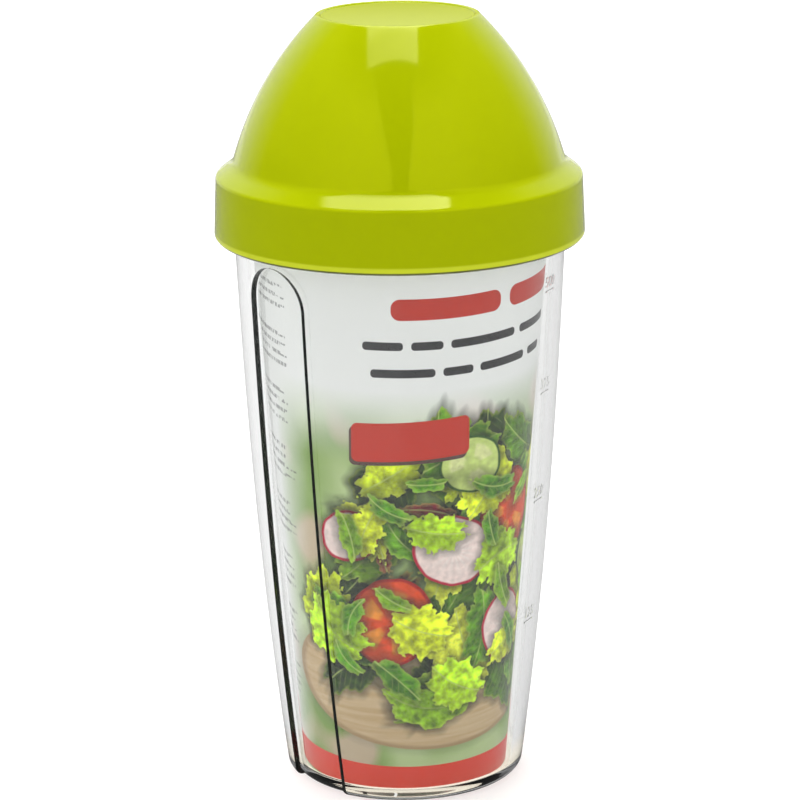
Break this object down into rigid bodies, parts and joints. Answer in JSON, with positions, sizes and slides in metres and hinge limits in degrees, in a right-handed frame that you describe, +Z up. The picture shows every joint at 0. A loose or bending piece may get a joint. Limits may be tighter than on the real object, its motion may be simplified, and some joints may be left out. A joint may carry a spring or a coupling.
{
  "type": "salad dressing shaker bottle",
  "caption": "Clear tapered shaker beaker with finger grips, a domed press-on lid with sealing ring, a strainer in the mouth and a rolled printed card as lining.",
  "frame": {"origin": "middle of the foot, on the surface that the bottle stands on", "axes": "+Z up the bottle's axis; the finger grips face +X and -X; -Y is the front, with the volume scale to its right"},
  "size_m": [0.0954, 0.0954, 0.2022],
  "materials": {
    "clear_plastic": "polished, clear",
    "lid_plastic": "glossy",
    "seal_rubber": "satin",
    "strainer_plastic": "satin",
    "printed_card": "satin print"
  },
  "bodies": {
    "beaker": {"beaker": "clear_plastic"},
    "lid": {"lid": "lid_plastic", "seal_ring": "seal_rubber"},
    "strainer": {"strainer_insert": "strainer_plastic"},
    "card": {"card_insert": "printed_card"}
  },
  "joints": [
    {"name": "lid_lift", "type": "slide", "parent": "beaker", "child": "lid", "axis": [0, 0, 1], "range_m": [0, 0.27]},
    {"name": "strainer_lift", "type": "slide", "parent": "beaker", "child": "strainer", "axis": [0, 0, 1], "range_m": [0, 0.2025]},
    {"name": "card_lift", "type": "slide", "parent": "beaker", "child": "card", "axis": [0, 0, 1], "range_m": [0, 0.162]}
  ],
  "couplings": [
    {"joint": "strainer_lift", "follows": "lid_lift", "ratio": 0.75},
    {"joint": "card_lift", "follows": "lid_lift", "ratio": 0.6}
  ]
}
